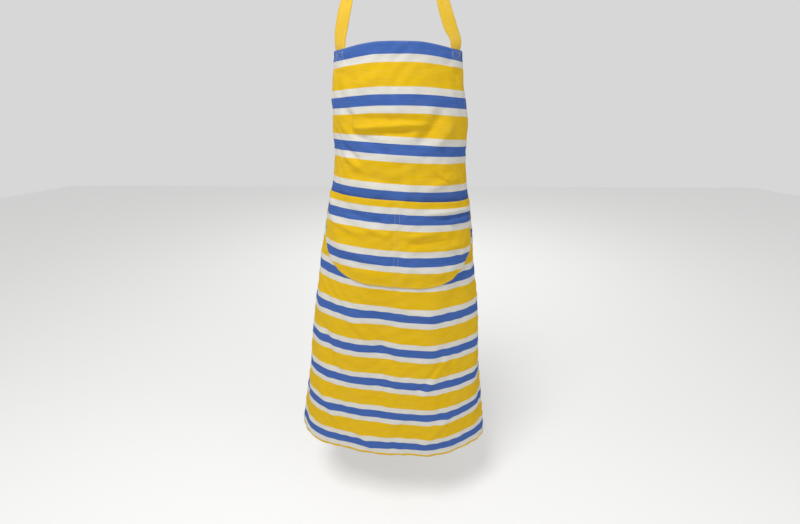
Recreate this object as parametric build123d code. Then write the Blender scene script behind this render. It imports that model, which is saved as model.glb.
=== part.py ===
"""Bib apron as worn: a striped cotton cloth wrapped round the front of a wearer, held up by a tape
loop round the neck and drawn in by two waist ties that end in a bow behind.

Millimetres, +Z up. The front of the apron faces -Y and the wearer's left is +X. The origin is the
middle of the neck loop's inner face, where it rests on the nape of the neck.
"""

import os
from math import asin, cos, sin

from build123d import *

LEFT, RIGHT = 1, -1

# Cut of the cloth, as drops below the bib's top edge.
BIB_TOP = -215.0
LENGTH = 960.0
WAIST_DROP = 290.0
HEM_Z = BIB_TOP - LENGTH
WAIST_Z = BIB_TOP - WAIST_DROP

# Form that the cloth wraps: half width and half depth of its level sections, which are ellipses
# at even steps down, from well above the bib's top to well below the hem.
FORM_Y = -50.0
FORM_TOP = 135.0
FORM_STEP = 123.0
FORM = [
    (138, 100), (146, 110), (150, 121), (148, 122), (171, 126), (188, 129),
    (209, 127), (226, 125), (242, 126), (259, 126), (276, 118),
]

# Free edges of the cloth in the side view: how far back each corner lies.
CORNER_Y = -108.0
ARMHOLE_MID = (-84.0, 150.0)
WAIST_CORNER_Y = 47.0
HEM_CORNER_Y = -18.0
EDGE_LEAN = 0.7
FAR = 400.0
SPARE = 20.0

CLOTH = 1.0
PLY_GAP = 0.2
TOP_HEM = 26.0
EDGE_HEM = 11.0
BOTTOM_HEM = 20.0

# Pocket: its cut in the front view, and the room behind it.
POCKET_TOP = BIB_TOP - 293.0
POCKET_BOTTOM = BIB_TOP - 488.0
POCKET_HALF = 158.0
POCKET_FLAT = 45.0
POCKET_CURVE = 90.0
POCKET_SEAM = 4.0
POCKET_ROOM = 18.0
POCKET_HEM = 24.0

# Tape of the neck loop and of the ties.
TAPE_W = 28.0
TAPE_T = 1.2
STRAP_END = 42.0
STRAP_END_X = (100.0, 120.5)

# Middle of the neck loop's tape with the way that its face looks, given as on the wearer's left and
# mirrored to the right, where a straight run for the buckles lies between its foot and its head.
BIB_STATIONS = [
    ((111.0, -118.8, BIB_TOP + 5.0), (0.70, -0.71, 0.0)),
    ((104.0, -119.5, BIB_TOP + 50.0), (0.80, -0.60, 0.0)),
]
RUN_FOOT = Vector(91.0, -103.0, BIB_TOP + 112.0)
RUN_HEAD = Vector(72.0, -55.0, BIB_TOP + 183.0)
RUN_FACE = Vector(0.85, -0.30, 0.20)
NECK_STATIONS = [
    ((65.0, -34.0, BIB_TOP + 199.0), (0.78, 0.05, 0.62)),
    ((52.0, -15.0, BIB_TOP + 209.0), (0.55, 0.55, 0.62)),
    ((29.0, -2.8, BIB_TOP + 214.0), (0.25, 0.90, 0.35)),
    ((0.0, TAPE_T / 2, BIB_TOP + 215.0), (0.0, 1.0, 0.0)),
]

# The left half of the loop leans further in than the right one.
LEFT_STATIONS = [
    ((111.0, -118.8, BIB_TOP + 5.0), (0.70, -0.71, 0.0)),
    ((93.5, -119.5, BIB_TOP + 50.0), (0.80, -0.60, 0.0)),
    ((68.0, -103.0, BIB_TOP + 112.0), (0.85, -0.30, 0.20)),
    ((61.0, -55.0, BIB_TOP + 183.0), (0.85, -0.30, 0.20)),
]
LEFT_NECK_STATIONS = [
    ((57.0, -34.0, BIB_TOP + 199.0), (0.78, 0.05, 0.62)),
    ((49.0, -15.0, BIB_TOP + 209.0), (0.55, 0.55, 0.62)),
    *NECK_STATIONS[2:],
]

# Ring and slider that adjust the loop, on the wearer's right.
SLIDE_GAP = 0.35
RING_WIRE = 3.0
RING_PITCH = 10.0
RING_W = 30.0
WRAP_R = RING_WIRE / 2 + SLIDE_GAP + TAPE_T / 2
FOLD_LEAN = 14.0
RETURN_L = 62.0
SHORT_RUN = 20.0
SHORT_RETURN = 18.0
SLIDER_AT = 46.0
SLIDER_L = 24.0
SLIDER_W = 36.0
SLIDER_T = 2.4
SLIDER_BAR = 4.0
SLIDER_RIM = 3.4
SLOT_W = 29.0
FOLD_FOOT = 4.6

# Ties, and the bow behind the waist.
TIE_Z = WAIST_Z - 16.0
TIE_LAP = 34.0
PIVOT_GAP = 1.5
TIE_PIVOT_Y = 48.0
KNOT_HALF = 12.0
KNOT_DEEP = 16.0
KNOT_HIGH = 26.0
KNOT_ROUND = 5.0
BOW_Y = 80.0
LOOP_LONG = 92.0
LOOP_DEEP = 19.0
LOOP_START = 4.0
LOOP_DROOP = 26.0
LOOP_RISE = 7.0
TAIL_LONG = 290.0
TAIL_GATHER = 70.0
TAIL_SPLAY = 8.0
TAIL_OUT = 5.0


def form(grow):
    """The whole form that the cloth wraps, grown outwards by grow."""
    top = BIB_TOP + FORM_TOP
    levels = [Pos(0, FORM_Y, top - i * FORM_STEP) for i in range(len(FORM))]
    return loft([level * Ellipse(a + grow, b + grow) for level, (a, b) in zip(levels, FORM)])


def ply(inside, thickness):
    """A layer over the form, from inside to inside + thickness out from it."""
    return form(inside + thickness) - form(inside)


def slab(low, high, x_low=-FAR, x_high=FAR, y_low=-FAR, y_high=FAR):
    """A block between two heights, and between two sides or two depths if they are given."""
    middle = Pos((x_low + x_high) / 2, (y_low + y_high) / 2, (low + high) / 2)
    return middle * Box(x_high - x_low, y_high - y_low, high - low)


def half(side):
    """Everything on one side of the apron's middle, between its top and its hem."""
    return slab(HEM_Z - SPARE, SPARE, *sorted((0, side * FAR)))


def cut_outline(inset=0.0):
    """The cut of the cloth, run through along X from the side view, with every free edge inset."""
    front = (0, -FAR, BIB_TOP - inset)
    corner = (0, CORNER_Y - inset, BIB_TOP - inset)
    armhole = (0, ARMHOLE_MID[0] - inset * EDGE_LEAN, BIB_TOP - ARMHOLE_MID[1] - inset * EDGE_LEAN)
    waist = (0, WAIST_CORNER_Y - inset, WAIST_Z - inset * EDGE_LEAN)
    hem = (0, HEM_CORNER_Y - inset, HEM_Z)
    foot = (0, -FAR, HEM_Z)
    curve = Edge.make_spline(
        [Vector(*corner), Vector(*armhole), Vector(*waist)],
        tangents=[Vector(0, 0.05, -1), Vector(0, 1, -0.35)],
    )
    sides = [Edge.make_line(a, b) for a, b in ((front, corner), (waist, hem), (hem, foot), (foot, front))]
    return extrude(Face(Wire([sides[0], curve, *sides[1:]])), FAR, dir=(1, 0, 0), both=True)


def make_cloth():
    """The cloth itself, and the hems turned to its inside on every free edge."""
    outline = cut_outline()
    parts = {"main_panel": ply(0, CLOTH) & outline}
    turned = ply(-PLY_GAP - CLOTH, CLOTH) & outline
    border = turned - cut_outline(EDGE_HEM)
    top_low = BIB_TOP - TOP_HEM
    foot_high = HEM_Z + BOTTOM_HEM
    parts["bib_top_hem"] = turned & slab(top_low, BIB_TOP + 1)
    parts["bottom_hem"] = turned & slab(HEM_Z - 1, foot_high)
    for name, side in (("left", LEFT), ("right", RIGHT)):
        near = border & half(side)
        parts[f"armhole_hem_{name}"] = near & slab(WAIST_Z, top_low - PLY_GAP)
        parts[f"side_hem_{name}"] = near & slab(foot_high + PLY_GAP, WAIST_Z - PLY_GAP)
    return parts


def pocket_outline(inset, top):
    """The pocket's cut in the front view, run forwards: straight sides, large lower curves."""
    side = POCKET_HALF - inset
    low = POCKET_BOTTOM + inset
    shoulder = POCKET_BOTTOM + POCKET_CURVE
    quarter_r = (side - POCKET_FLAT, shoulder - low)
    edges = [
        Edge.make_line((-side, top), (side, top)),
        Edge.make_line((side, top), (side, shoulder)),
        Edge.make_ellipse(*quarter_r, start_angle=270, end_angle=360).moved(Pos(POCKET_FLAT, shoulder)),
        Edge.make_line((POCKET_FLAT, low), (-POCKET_FLAT, low)),
        Edge.make_ellipse(*quarter_r, start_angle=180, end_angle=270).moved(Pos(-POCKET_FLAT, shoulder)),
        Edge.make_line((-side, shoulder), (-side, top)),
    ]
    return extrude(Plane.XZ * Face(Wire(edges)), FAR, dir=(0, -1, 0))


def make_pocket():
    """The pocket: a front ply stitched down at its sides, bottom and middle, open at the top."""
    back = CLOTH + PLY_GAP
    front = back + POCKET_ROOM
    inner = form(front) - form(back)
    front_half = slab(POCKET_BOTTOM - 1, POCKET_TOP, y_high=FORM_Y)
    bag = (form(front + CLOTH) - form(back)) & pocket_outline(0, POCKET_TOP) & front_half
    room = inner & pocket_outline(POCKET_SEAM, POCKET_TOP + SPARE)
    divider = slab(POCKET_BOTTOM, POCKET_TOP, -POCKET_SEAM / 2, POCKET_SEAM / 2)
    fold = ply(front - PLY_GAP - CLOTH, CLOTH) & pocket_outline(POCKET_SEAM + 1, POCKET_TOP)
    fold &= slab(POCKET_TOP - POCKET_HEM, POCKET_TOP, y_high=FORM_Y)
    gap = slab(POCKET_BOTTOM, POCKET_TOP + 1, -POCKET_SEAM, POCKET_SEAM)
    return {"pocket_panel": bag - (room - divider), "pocket_top_hem": fold - gap}


def tape_section(middle, along, face):
    """The tape's cross-section at one station of its path."""
    along = along.normalized()
    face = (face - along * face.dot(along)).normalized()
    return Plane(origin=middle, x_dir=along.cross(face), z_dir=along) * Rectangle(TAPE_W, TAPE_T)


def tape_loft(stations, first, last):
    """Tape through stations of (middle, face), from the direction first to the direction last."""
    points = [Vector(*middle) for middle, _ in stations]
    ways = [first, *(b - a for a, b in zip(points, points[2:])), last]
    return loft([tape_section(p, way, Vector(*face)) for p, way, (_, face) in zip(points, ways, stations)])


def mirrored(stations):
    """The same stations on the other side, in the opposite order."""
    return [((-p[0], p[1], p[2]), (-f[0], f[1], f[2])) for p, f in reversed(stations)]


def run_plane(distance=0.0, out=0.0):
    """Plane on the right-hand straight run: X up the strap, Y out of its face, Z across it."""
    foot, head, face = (Vector(-v.X, v.Y, v.Z) for v in (RUN_FOOT, RUN_HEAD, RUN_FACE))
    way = (head - foot).normalized()
    face = (face - way * face.dot(way)).normalized()
    return Plane(origin=foot + way * distance + face * out, x_dir=way, z_dir=way.cross(face))


def folded_run(way, start, reach, back):
    """A strap's straight stretch on the run, folded round the ring's bar at start and sewn to itself.

    way is 1 where it leaves the bar up the run and -1 down it; back is the length of the inner layer.
    """
    t = TAPE_T / 2
    close = -TAPE_T - SLIDE_GAP
    turn_out, turn_in = WRAP_R + t, WRAP_R - t
    lean, end = start + way * FOLD_LEAN, start + way * back
    edges = [
        Edge.make_line((reach, t), (start, t)),
        Edge.make_three_point_arc((start, t), (start - way * turn_out, -WRAP_R), (start, -WRAP_R - turn_out)),
        Edge.make_line((start, -WRAP_R - turn_out), (lean, close - t)),
        Edge.make_line((lean, close - t), (end, close - t)),
        Edge.make_line((end, close - t), (end, close + t)),
        Edge.make_line((end, close + t), (lean, close + t)),
        Edge.make_line((lean, close + t), (start, -WRAP_R - turn_in)),
        Edge.make_three_point_arc((start, -WRAP_R - turn_in), (start - way * turn_in, -WRAP_R), (start, -t)),
        Edge.make_line((start, -t), (reach, -t)),
        Edge.make_line((reach, -t), (reach, t)),
    ]
    return extrude(run_plane() * Face(Wire(edges)), TAPE_W / 2, both=True)


def make_neck_loop():
    """The two straps of the neck loop, the ring between them and the slider on the longer one."""
    left_up = Vector(*LEFT_STATIONS[-1][0]) - Vector(*LEFT_STATIONS[-2][0])
    down_right = run_plane().x_dir * -1
    face = tuple(RUN_FACE)
    head = (tuple(RUN_HEAD), face)
    right_neck = mirrored([head, *NECK_STATIONS[:-1]])
    long_strap = tape_loft(LEFT_STATIONS, Vector(0, 0, 1), left_up)
    long_strap += tape_loft([LEFT_STATIONS[-1], *LEFT_NECK_STATIONS, *right_neck], left_up, down_right)
    long_strap += folded_run(1, RING_PITCH, (RUN_HEAD - RUN_FOOT).length, RETURN_L)
    short_foot = tuple(run_plane(-SHORT_RUN).origin)
    right_face = (-face[0], face[1], face[2])
    short_strap = tape_loft([(short_foot, right_face), *mirrored(BIB_STATIONS)], down_right, Vector(0, 0, -1))
    short_strap += folded_run(-1, 0.0, -SHORT_RUN, SHORT_RETURN)
    return {
        "neck_strap_long": long_strap,
        "neck_strap_short": short_strap,
        "strap_ring": make_ring(),
        "strap_slider": make_slider(),
        "slider_strap_fold": make_slider_fold(),
    }


def make_ring():
    """A rectangle of round wire that both straps fold round."""
    middle = run_plane(RING_PITCH / 2, -WRAP_R)
    flat = Plane(middle.origin, x_dir=middle.x_dir, z_dir=middle.y_dir)
    path = flat * Wire(RectangleRounded(RING_PITCH, RING_W + RING_WIRE, RING_WIRE).edges())
    start = path @ 0
    return sweep(Plane(start, z_dir=path % 0) * Circle(RING_WIRE / 2), path=path)


def make_slider():
    """A flat buckle with a bar across its middle, on the outside of the long strap."""
    low = run_plane(SLIDER_AT, TAPE_T / 2 + SLIDE_GAP)
    flat = Plane(low.origin, x_dir=low.x_dir, z_dir=low.y_dir)
    plate = RectangleRounded(SLIDER_L, SLIDER_W, SLIDER_RIM)
    slot = (SLIDER_L - 2 * SLIDER_RIM - SLIDER_BAR) / 2
    for side in (-1, 1):
        plate -= Pos(side * (SLIDER_BAR + slot) / 2, 0) * Rectangle(slot, SLOT_W)
    return extrude(flat * plate, SLIDER_T)


def make_slider_fold():
    """The strap's end, folded over the slider's bar and sewn: it moves with the slider."""
    low = TAPE_T / 2 + SLIDE_GAP
    high = low + SLIDER_T + SLIDE_GAP
    inner = SLIDER_BAR / 2 + SLIDE_GAP
    foot = inner + FOLD_FOOT
    outline = [
        (-foot, low), (-foot + TAPE_T, low), (-inner, high), (inner, high), (foot - TAPE_T, low),
        (foot, low), (inner + TAPE_T / 2, high + TAPE_T), (-inner - TAPE_T / 2, high + TAPE_T),
    ]
    section = run_plane(SLIDER_AT) * Face(Wire.make_polygon(outline, close=True))
    return extrude(section, TAPE_W / 2, both=True)


def make_strap_ends():
    """The ends of the neck straps and of the ties, sewn behind the hems of the cloth."""
    inside = ply(-2 * PLY_GAP - CLOTH - TAPE_T, TAPE_T)
    cloth = cut_outline(CLOTH)
    tie_low, tie_high = TIE_Z - TAPE_W / 2, TIE_Z + TAPE_W / 2
    parts = {}
    for name, side in (("left", LEFT), ("right", RIGHT)):
        across = sorted(side * x for x in STRAP_END_X)
        chest = slab(BIB_TOP - STRAP_END, BIB_TOP, *across, y_high=FORM_Y)
        parts[f"strap_end_{name}"] = inside & chest
        waist = slab(tie_low, tie_high, *sorted((0, side * FAR)), y_low=TIE_PIVOT_Y - TIE_LAP)
        parts[f"tie_end_{name}"] = inside & waist & cloth
        beside_knot = sorted((side * (KNOT_HALF + SLIDE_GAP), side * FAR))
        parts[f"tie_run_{name}"] = inside & slab(tie_low, tie_high, *beside_knot, y_low=TIE_PIVOT_Y)
    return parts


def make_bow():
    """The bow behind the waist: its knot, two loops and two tails, each with its own tie."""
    parts = {}
    knot = Box(2 * KNOT_HALF, KNOT_DEEP, KNOT_HIGH)
    parts["bow_knot"] = Pos(0, BOW_Y, TIE_Z) * fillet(knot.edges(), KNOT_ROUND)
    for name, side in (("left", LEFT), ("right", RIGHT)):
        parts[f"bow_loop_{name}"] = make_bow_loop(side)
        parts[f"tie_tail_{name}"] = make_tail(side)
    return parts


def teardrop(shrink):
    """A drop shape that points at its start, with its round end at LOOP_LONG."""
    r = LOOP_DEEP / 2 - shrink
    centre = LOOP_LONG - LOOP_DEEP / 2
    point = LOOP_START + shrink * 3
    reach = centre - point
    turn = asin(r / reach)
    touch = (centre - r * sin(turn), r * cos(turn))
    return Face(Wire([
        Edge.make_line((point, 0), touch),
        Edge.make_three_point_arc(touch, (centre + r, 0), (touch[0], -touch[1])),
        Edge.make_line((touch[0], -touch[1]), (point, 0)),
    ]))


def make_bow_loop(side):
    """One loop of the bow: a band of tape round a drop shape, drooping from the knot."""
    band = extrude(teardrop(0) - teardrop(TAPE_T), TAPE_W / 2, both=True)
    band = Pos(KNOT_HALF + SLIDE_GAP - LOOP_START, 0, 0) * band
    band = Pos(0, BOW_Y, TIE_Z + LOOP_RISE) * Rot(0, LOOP_DROOP, 0) * band
    band = band & slab(-FAR * 3, 0, KNOT_HALF + SLIDE_GAP, FAR)
    return band if side == LEFT else mirror(band, Plane.YZ)


def make_tail(side):
    """One tail of the bow, gathered at the knot and hanging over the seat."""
    top = TIE_Z - KNOT_HIGH / 2 - PIVOT_GAP
    start, narrow, wide = KNOT_HALF / 2, KNOT_HALF / 2 - 0.8, TAPE_W / 2
    outline = [(-narrow, 0), (narrow, 0), (wide, -TAIL_GATHER), (wide, -TAIL_LONG), (-wide, -TAIL_LONG),
               (-wide, -TAIL_GATHER)]
    flat = Plane.XZ * Face(Wire.make_polygon(outline, close=True))
    strip = Pos(start, 0, top) * Rot(0, -TAIL_SPLAY, 0) * flat
    tail = ply(TAIL_OUT, TAPE_T) & extrude(strip, FAR, dir=(0, 1, 0))
    return tail if side == LEFT else mirror(tail, Plane.YZ)


def main():
    os.makedirs("parts", exist_ok=True)
    parts = {**make_cloth(), **make_pocket(), **make_strap_ends(), **make_neck_loop(), **make_bow()}
    for name, shape in parts.items():
        print(name, round(shape.volume), shape.is_valid, len(shape.solids()))
        export_step(shape, f"parts/{name}.step")


main()
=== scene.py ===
import bmesh
import bpy
import math
import numpy as np
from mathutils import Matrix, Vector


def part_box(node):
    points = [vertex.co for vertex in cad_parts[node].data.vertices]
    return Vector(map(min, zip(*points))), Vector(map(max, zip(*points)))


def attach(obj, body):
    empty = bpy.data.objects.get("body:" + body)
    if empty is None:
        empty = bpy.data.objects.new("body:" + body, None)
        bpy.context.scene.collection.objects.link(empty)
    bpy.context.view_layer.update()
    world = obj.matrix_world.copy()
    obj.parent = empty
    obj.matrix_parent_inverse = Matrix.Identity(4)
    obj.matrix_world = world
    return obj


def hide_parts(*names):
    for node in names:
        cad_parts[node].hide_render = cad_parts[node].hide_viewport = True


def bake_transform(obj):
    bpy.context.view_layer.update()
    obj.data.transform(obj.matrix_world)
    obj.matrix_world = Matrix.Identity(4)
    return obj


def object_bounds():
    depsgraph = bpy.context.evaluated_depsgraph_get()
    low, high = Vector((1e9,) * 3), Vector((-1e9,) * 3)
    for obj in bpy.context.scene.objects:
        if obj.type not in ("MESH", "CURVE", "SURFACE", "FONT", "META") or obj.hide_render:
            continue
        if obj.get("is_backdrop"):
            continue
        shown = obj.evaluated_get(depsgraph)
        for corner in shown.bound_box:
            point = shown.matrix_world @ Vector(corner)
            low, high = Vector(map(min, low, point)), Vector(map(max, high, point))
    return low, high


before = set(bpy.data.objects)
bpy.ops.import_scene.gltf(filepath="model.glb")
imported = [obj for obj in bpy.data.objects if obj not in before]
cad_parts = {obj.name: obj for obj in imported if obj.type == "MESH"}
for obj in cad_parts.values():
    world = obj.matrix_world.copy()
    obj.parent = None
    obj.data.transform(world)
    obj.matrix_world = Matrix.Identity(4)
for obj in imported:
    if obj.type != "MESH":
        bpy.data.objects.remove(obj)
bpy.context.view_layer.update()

# The view: from a metre in front of the chest, tilted down to take in the hem. The lens is short,
# so the skirt narrows towards the floor.
TILT_DOWN, TURNED = 19.3, 1.1
camera = bpy.data.objects.new("camera", bpy.data.cameras.new("camera"))
bpy.context.scene.collection.objects.link(camera)
camera.data.sensor_width = 36.0
camera.data.lens = 17.7
camera.location = (0.0174, -0.976, -0.362)
camera.rotation_euler = (math.radians(90 - TILT_DOWN), 0.0, math.radians(TURNED))
bpy.context.scene.camera = camera

# Fall of the cloth: one piece of cotton drill is worn round the front of a body, so every level of
# it is close to part of an ellipse, and a point of it is found from how far across and how far down
# the flat cloth it lies. The skirt hangs a little askew, with the wearer's right side higher.
LENGTH, WAIST_DROP = 0.960, 0.290
BIB_TOP_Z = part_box("main_panel")[1].z
PLY = 0.0009
# Half widths and half depths of the body form, in millimetres at every 123 mm down.
FORM_Y, FORM_TOP, FORM_STEP = -0.050, -0.135, 0.123
FORM_WIDE = np.array([138, 146, 150, 148, 171, 188, 209, 226, 242, 259, 276]) * 0.001
FORM_DEEP = np.array([100, 110, 121, 122, 126, 129, 127, 125, 126, 126, 118]) * 0.001
# How far back the free edge lies at the bib's corner, the waist and the foot, and the armhole's fullness.
CORNER_Y, WAIST_Y, HEM_Y, ARMHOLE_FULL = -0.108, 0.047, -0.018, 1.7
# How the cloth hangs askew: its slope, and how far the skirt and the bib shift to the wearer's right.
SKEW, SKEW_FROM, SKEW_TO = math.tan(math.radians(3.3)), 0.100, 0.190
DRIFT, DRIFT_FROM, DRIFT_LONG, BIB_DRIFT = 0.021, 0.3, 0.63, 0.0035


def smooth(x, low, high):
    """Nought below low, one above high, and a smooth step between them."""
    t = np.clip((x - low) / (high - low), 0.0, 1.0)
    return t * t * (3 - 2 * t)


def bump(x, middle, width):
    """A soft bell of height one."""
    return np.exp(-((x - middle) / width) ** 2)


def form_size(table, drop):
    """The form's half width or half depth at a drop, on a smooth curve through its sections."""
    place = (drop - FORM_TOP) / FORM_STEP
    i = np.clip(np.floor(place).astype(int), 1, len(table) - 3)
    f = place - i
    p0, p1, p2, p3 = (table[i + k] for k in (-1, 0, 1, 2))
    second, third = 2 * p0 - 5 * p1 + 4 * p2 - p3, 3 * p1 - p0 - 3 * p2 + p3
    return 0.5 * (2 * p1 + (p2 - p0) * f + second * f**2 + third * f**3)


def arc_table(drop):
    """Angles round the form at each drop, and how far round it each one lies."""
    angle = np.linspace(0.0, math.radians(178), 170)
    a, b = form_size(FORM_WIDE, drop)[:, None], form_size(FORM_DEEP, drop)[:, None]
    speed = np.sqrt((a * np.cos(angle)) ** 2 + (b * np.sin(angle)) ** 2)
    steps = (speed[:, 1:] + speed[:, :-1]) / 2 * np.diff(angle)
    return angle, np.concatenate([np.zeros((len(drop), 1)), np.cumsum(steps, axis=1)], axis=1)


def edge_y(drop):
    """How far back the free edge lies: the armhole's curve, then the skirt's straight side."""
    t = np.clip(drop / WAIST_DROP, 0.0, 1.0)
    armhole = CORNER_Y + (WAIST_Y - CORNER_Y) * (1 - (1 - t * t) ** (1 / ARMHOLE_FULL))
    skirt_side = WAIST_Y + (drop - WAIST_DROP) / (LENGTH - WAIST_DROP) * (HEM_Y - WAIST_Y)
    return np.where(drop < WAIST_DROP, armhole, skirt_side)


def half_width(drop):
    """The flat cloth's half width at each drop."""
    drop = np.asarray(drop, float)
    angle, arc = arc_table(drop)
    turn = np.arccos(np.clip((FORM_Y - edge_y(drop)) / form_size(FORM_DEEP, drop), -1, 1))
    return np.array([np.interp(t, angle, row) for t, row in zip(turn, arc)])


# Soft folds: where they start and end on the cloth as (across, drop), how wide, and how high.
FOLDS = [
    ((-0.100, 0.158), (0.068, 0.145), 0.0048, 0.0046),
    ((-0.088, 0.136), (0.052, 0.139), 0.0075, -0.0046),
    ((-0.080, 0.172), (0.035, 0.156), 0.0080, -0.0048),
    ((-0.104, 0.168), (-0.030, 0.196), 0.0100, -0.0050),
    ((0.036, 0.186), (0.092, 0.118), 0.0120, -0.0078),
    ((0.070, 0.190), (0.118, 0.140), 0.0110, 0.0045),
    ((-0.106, 0.118), (-0.103, 0.166), 0.0070, -0.0052),
    ((-0.128, 0.120), (-0.124, 0.170), 0.0100, 0.0035),
    ((-0.128, 0.195), (-0.085, 0.222), 0.0080, -0.0045),
    ((-0.125, 0.216), (-0.080, 0.238), 0.0070, 0.0035),
    ((-0.020, 0.205), (0.050, 0.212), 0.0120, 0.0035),
    ((0.085, 0.238), (0.104, 0.250), 0.0035, 0.0024),
    ((0.100, 0.252), (0.122, 0.238), 0.0035, 0.0024),
    ((0.075, 0.246), (0.112, 0.257), 0.0045, -0.0022),
    ((0.060, 0.268), (0.150, 0.244), 0.0080, 0.0038),
    ((-0.110, 0.250), (0.010, 0.262), 0.0100, -0.0036),
    ((-0.080, 0.072), (-0.020, 0.058), 0.0120, 0.0022),
    ((0.060, 0.030), (0.100, 0.075), 0.0100, -0.0020),
    ((-0.170, 0.300), (-0.120, 0.420), 0.0160, 0.0030),
    ((0.118, 0.670), (0.052, 0.775), 0.0070, -0.0034),
    ((0.134, 0.660), (0.074, 0.770), 0.0100, 0.0034),
    ((-0.120, 0.560), (-0.040, 0.650), 0.0130, 0.0044),
    ((-0.070, 0.600), (0.010, 0.700), 0.0120, -0.0040),
    ((-0.190, 0.600), (-0.150, 0.740), 0.0150, -0.0048),
    ((0.020, 0.540), (0.090, 0.560), 0.0100, 0.0035),
    ((0.150, 0.840), (0.075, 0.930), 0.0120, 0.0042),
    ((0.030, 0.860), (0.000, 0.940), 0.0120, -0.0034),
    ((-0.100, 0.880), (-0.040, 0.955), 0.0110, 0.0038),
    ((-0.200, 0.780), (-0.130, 0.900), 0.0130, 0.0040),
    ((0.190, 0.420), (0.120, 0.540), 0.0180, -0.0040),
    ((-0.230, 0.420), (-0.190, 0.620), 0.0220, 0.0040),
    ((0.240, 0.480), (0.215, 0.800), 0.0240, 0.0040),
    ((0.285, 0.560), (0.265, 0.950), 0.0180, -0.0045),
    ((-0.285, 0.600), (-0.270, 0.950), 0.0180, -0.0045),
]
# Over the legs the skirt has a ridge and a furrow: how far across, how wide and how high.
LEG_FOLDS = ((0.086, 0.034, 0.0085), (-0.034, 0.044, -0.0120))
# How far the sewn strap ends and the turned hems push the cloth out.
STRAP_STEP, HEM_STEP = 0.0010, 0.0006


def folds_sum(folds, across, drop):
    """The height of a list of folds: each is a soft ridge or furrow that fades at its two ends."""
    height = np.zeros(np.broadcast(across, drop).shape)
    for (a0, d0), (a1, d1), width, high in folds:
        way = np.array([a1 - a0, d1 - d0])
        long = np.hypot(*way)
        way = way / long
        along = (across - a0) * way[0] + (drop - d0) * way[1]
        aside = (across - a0) * way[1] - (drop - d0) * way[0]
        ends = np.exp(-(np.clip(np.abs(along / long - 0.5) - 0.28, 0, None) / 0.20) ** 2)
        height = height + high * ends * bump(aside, 0.0, width)
    return height


def fold_height(across, drop):
    """How far the cloth stands off the form: leg folds, drawn folds, hems, strap ends and unevenness."""
    skirt = smooth(drop, 0.430, 0.600) * (1 - 0.55 * smooth(drop, 0.780, 0.950))
    height = skirt * sum(high * bump(across, middle, wide) for middle, wide, high in LEG_FOLDS)
    height += 0.0035 * smooth(drop, 0.5, 0.96) * np.sin(across * 38 + drop * 3.0)
    height += folds_sum(FOLDS, across, drop)
    sewn = smooth(np.abs(across), 0.1070, 0.1100) * (1 - smooth(np.abs(across), 0.1350, 0.1375))
    height += STRAP_STEP * sewn * (1 - smooth(drop, 0.0400, 0.0435))
    height += HEM_STEP * (1 - smooth(drop, 0.0245, 0.0275)) + HEM_STEP * smooth(drop, 0.9390, 0.9415)
    broad = np.sin(across * 61 + 9 * np.sin(drop * 17)) * np.sin(drop * 74 + 7 * np.sin(across * 23))
    fine = np.sin(across * 143 + drop * 37 + 5 * np.sin(drop * 29)) * np.sin(drop * 91 - across * 31)
    return height + 0.0010 * broad + 0.0006 * fine


def sag(across, drop):
    """How much lower the bib hangs than it was cut: a little at its middle, more at its top corners."""
    middle = 0.0035 * bump(drop, 0.0, 0.090)
    corner = smooth(np.abs(across), 0.030, 0.140)
    return middle + corner * (0.0056 * bump(drop, 0.0, 0.030) + 0.0035 * (1 - smooth(drop, 0.120, 0.200)))


def wrap(across, drop, out=0.0, folds=1.0):
    """Points of the worn cloth, from their place across and down it and how far out they lie."""
    across, drop = (np.atleast_1d(np.asarray(v, float)) for v in np.broadcast_arrays(across, drop))
    angle, arc = arc_table(drop.ravel())
    turn = np.array([np.interp(abs(u), row, angle) for u, row in zip(across.ravel(), arc)])
    turn = (turn * np.sign(across.ravel())).reshape(across.shape)
    a, b = form_size(FORM_WIDE, drop), form_size(FORM_DEEP, drop)
    x, y = a * np.sin(turn), FORM_Y - b * np.cos(turn)
    nx, ny = np.sin(turn) / a, -np.cos(turn) / b
    size = np.hypot(nx, ny)
    away = out + folds * fold_height(across, drop)
    x, y = x + nx / size * away, y + ny / size * away
    level = SKEW * smooth(drop, SKEW_FROM, SKEW_TO)
    z = BIB_TOP_Z - drop - level * x - sag(across, drop)
    aside = DRIFT * np.clip((drop - DRIFT_FROM) / DRIFT_LONG, 0, 1.2)
    aside = aside + BIB_DRIFT * (1 - smooth(drop, 0.07, 0.13))
    return np.stack([x - aside, y, z], axis=-1)


def grid_piece(name, points, uv, closed=False):
    """A mesh from a grid of points, with each corner's place on the flat cloth as its UV."""
    rows, columns = points.shape[:2]
    mesh = bpy.data.meshes.new(name)
    faces = []
    for i in range(rows - 1):
        for j in range(columns - 1 + closed):
            k = (j + 1) % columns
            faces.append((i * columns + j, i * columns + k, (i + 1) * columns + k, (i + 1) * columns + j))
    mesh.from_pydata([tuple(p) for p in points.reshape(-1, 3)], [], faces)
    layer = mesh.uv_layers.new(name="cloth")
    flat = uv.reshape(-1, 2)
    corner = np.zeros(len(mesh.loops), int)
    mesh.loops.foreach_get("vertex_index", corner)
    layer.data.foreach_set("uv", flat[corner].ravel())
    mesh.polygons.foreach_set("use_smooth", [True] * len(mesh.polygons))
    obj = bpy.data.objects.new(name, mesh)
    bpy.context.scene.collection.objects.link(obj)
    return obj


def thicken(obj, thickness):
    """Gives a sheet its thickness, half to each side."""
    shell = obj.modifiers.new("thickness", "SOLIDIFY")
    shell.thickness = thickness
    shell.offset = 0.0
    shell.use_even_offset = True
    return obj


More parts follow.
